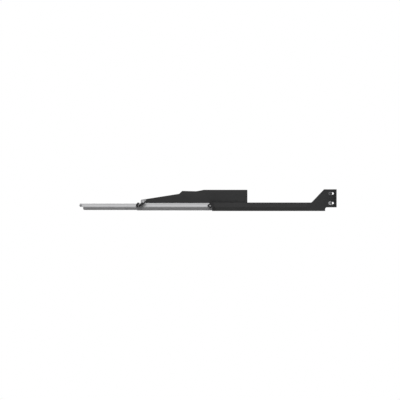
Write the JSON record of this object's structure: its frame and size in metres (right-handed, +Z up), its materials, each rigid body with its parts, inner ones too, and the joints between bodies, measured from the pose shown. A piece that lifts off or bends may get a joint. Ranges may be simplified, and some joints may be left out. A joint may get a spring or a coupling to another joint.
{
  "type": "fiber slack manager",
  "caption": "Telescoping slide-out fibre slack tray for a rack: ear brackets, creased nested rails, stepped tray walls, spools and a lacing bar",
  "frame": {"origin": "middle of the four rack holes, on the flange faces that meet the rack posts", "axes": "+X towards the rack, +Y to the left-hand side, +Z up; the tray slides out along -X"},
  "size_m": [0.5147, 0.4826, 0.0434],
  "materials": {
    "black_steel": "fine-textured black powder coat",
    "zinc_rail": "drawn zinc-plated steel",
    "zinc_hardware": "bright zinc plate",
    "black_plastic": "moulded nylon",
    "grey_plastic": "moulded nylon",
    "rubber": "soft bumper"
  },
  "bodies": {
    "brackets": {"bracket_arm_right": "black_steel", "bracket_arm_left": "black_steel", "rack_flange_right": "black_steel", "rack_flange_left": "black_steel", "ear_screws": "zinc_hardware", "ear_nuts": "zinc_hardware", "arm_guide_right": "black_plastic", "arm_guide_left": "black_plastic", "arm_bumpers": "rubber"},
    "tray": {"middle_rail_right": "zinc_rail", "middle_rail_left": "zinc_rail", "middle_guide_right": "black_plastic", "middle_guide_left": "black_plastic", "slide_blocks": "black_plastic", "block_screws": "zinc_hardware", "rail_rivets": "zinc_hardware", "tray_wall_right": "black_steel", "tray_wall_left": "black_steel", "foot_rivets": "zinc_hardware", "tray_floor": "black_steel", "fibre_spool_right": "black_plastic", "fibre_spool_left": "black_plastic", "spool_screws": "zinc_hardware", "fibre_clips": "black_plastic", "lever_pins": "zinc_hardware"},
    "lever_right": {"cam_lever_right": "black_plastic"},
    "lever_left": {"cam_lever_left": "black_plastic"},
    "extension": {"inner_rail_right": "zinc_rail", "inner_rail_left": "zinc_rail", "inner_glides": "black_plastic", "end_plugs": "grey_plastic", "lacing_bar": "zinc_rail", "bar_screws": "zinc_hardware"}
  },
  "joints": [
    {"name": "tray_slide", "type": "slide", "parent": "brackets", "child": "tray", "axis": [1, 0, 0], "range_m": [0, 0.112]},
    {"name": "extension_slide", "type": "slide", "parent": "tray", "child": "extension", "axis": [1, 0, 0], "range_m": [0, 0.104]},
    {"name": "lever_right_pivot", "type": "hinge", "parent": "tray", "child": "lever_right", "pos_m": [-0.3872, -0.217, -0.01034], "axis": [0, 1, 0], "range_deg": [0, 25]},
    {"name": "lever_left_pivot", "type": "hinge", "parent": "tray", "child": "lever_left", "pos_m": [-0.3872, 0.217, -0.01034], "axis": [0, 1, 0], "range_deg": [0, 25]}
  ]
}
